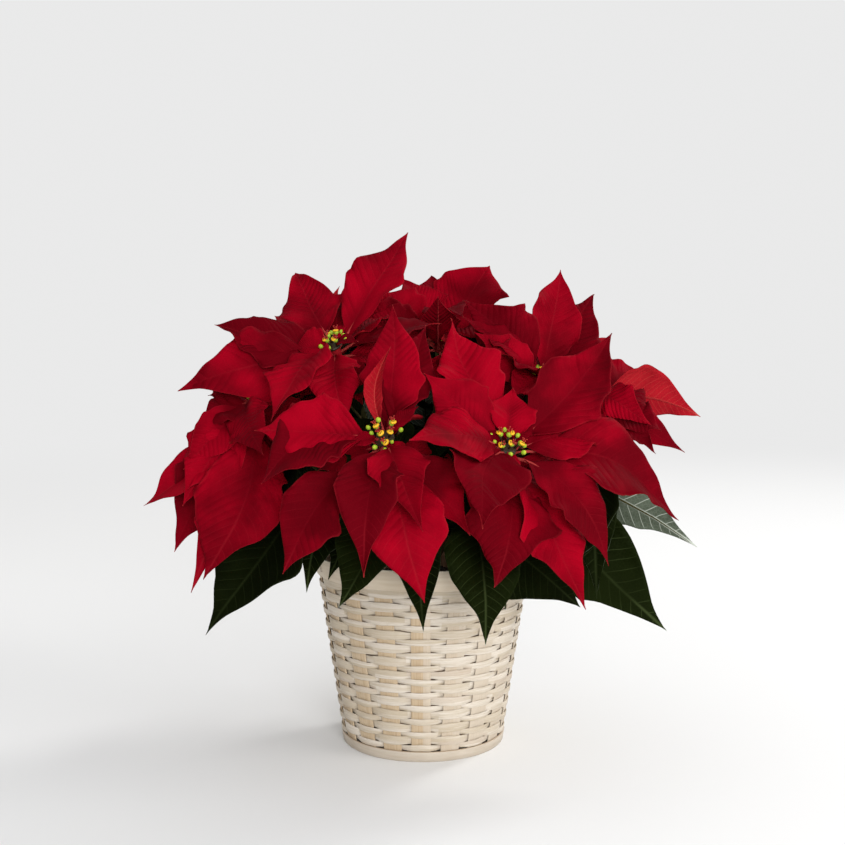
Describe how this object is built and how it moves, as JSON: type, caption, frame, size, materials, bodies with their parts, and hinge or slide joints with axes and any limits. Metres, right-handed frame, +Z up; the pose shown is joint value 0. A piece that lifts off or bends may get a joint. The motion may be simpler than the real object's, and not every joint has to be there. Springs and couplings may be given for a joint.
{
  "type": "potted poinsettia",
  "caption": "Full red poinsettia with green leaves in a grower's pot, set in a whitewashed woven splint basket with a plain collar and foot hoop.",
  "frame": {"origin": "middle of the basket's underside, on the surface it stands on", "axes": "+Z up; -Y the plant's fuller front; +X its right seen from the front"},
  "size_m": [0.446, 0.435, 0.417],
  "materials": {
    "pale_wood": "whitewashed, satin",
    "cream_splint": "whitewashed split wood, matt",
    "pot_plastic": "moulded",
    "soil": null,
    "green_leaf": null,
    "red_bract": null,
    "cyathium": null
  },
  "bodies": {
    "root": {"basket_floor": "pale_wood", "basket_weave": "cream_splint", "basket_foot_hoop": "pale_wood", "basket_collar": "pale_wood", "grower_pot": "pot_plastic", "soil": "soil", "leafy_stems": "green_leaf", "bracts_1": "red_bract", "bracts_2": "red_bract", "bracts_3": "red_bract", "bracts_4": "red_bract", "bracts_5": "red_bract", "bracts_6": "red_bract", "bracts_7": "red_bract", "bracts_8": "red_bract", "bracts_9": "red_bract", "bracts_10": "red_bract", "cyathia_1": "cyathium", "cyathia_2": "cyathium", "cyathia_3": "cyathium", "cyathia_4": "cyathium", "cyathia_5": "cyathium", "cyathia_6": "cyathium", "cyathia_7": "cyathium", "cyathia_8": "cyathium", "cyathia_9": "cyathium", "cyathia_10": "cyathium"}
  },
  "joints": []
}
